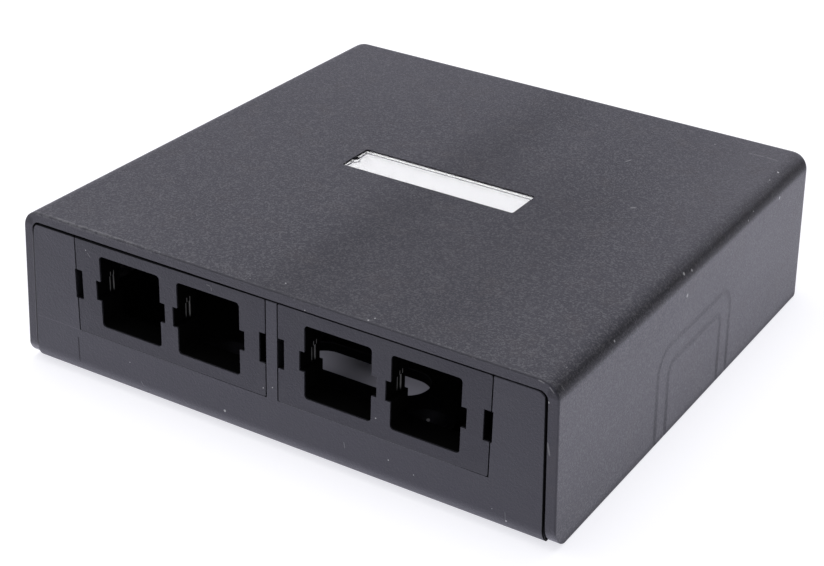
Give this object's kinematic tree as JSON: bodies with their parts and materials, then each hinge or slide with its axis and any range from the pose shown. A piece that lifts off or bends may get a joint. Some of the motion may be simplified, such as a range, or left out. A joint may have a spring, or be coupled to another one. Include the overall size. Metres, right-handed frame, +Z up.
{
  "type": "surface mount jack box",
  "caption": "Low square wiring box with a drafted lift-off cover, front port frames with notched jack windows, a clear label window on top and a cable slot in the floor.",
  "frame": {"origin": "middle of the underside, on the surface that the box stands on", "axes": "+X to the right along the front, -Y out of the jack windows, +Z up out of the cover"},
  "size_m": [0.1206, 0.1188, 0.034],
  "materials": {
    "base_plastic": "satin charcoal moulding",
    "cover_plastic": "fine spark texture, charcoal",
    "frame_plastic": "satin charcoal moulding",
    "clear_plastic": "clear polished",
    "label_paper": "matt white paper",
    "screw_steel": "zinc plated"
  },
  "bodies": {
    "base": {"base": "base_plastic"},
    "cover": {"cover": "cover_plastic", "label_strip": "label_paper"},
    "left_frame": {"port_frame_left": "frame_plastic"},
    "right_frame": {"port_frame_right": "frame_plastic"},
    "label_window": {"label_window": "clear_plastic"},
    "cover_screw": {"cover_screw": "screw_steel"}
  },
  "joints": [
    {"name": "cover_lift", "type": "slide", "parent": "base", "child": "cover", "axis": [0, 0, 1], "range_m": [0, 0.045]},
    {"name": "left_frame_pull", "type": "slide", "parent": "base", "child": "left_frame", "axis": [0, -1, 0], "range_m": [0, 0.012]},
    {"name": "right_frame_pull", "type": "slide", "parent": "base", "child": "right_frame", "axis": [0, -1, 0], "range_m": [0, 0.012]},
    {"name": "window_lift", "type": "slide", "parent": "cover", "child": "label_window", "axis": [0, 0, 1], "range_m": [0, 0.006]},
    {"name": "screw_turn", "type": "hinge", "parent": "cover", "child": "cover_screw", "pos_m": [0, -0.0014, 0.02], "axis": [0, 0, 1], "continuous": true}
  ]
}
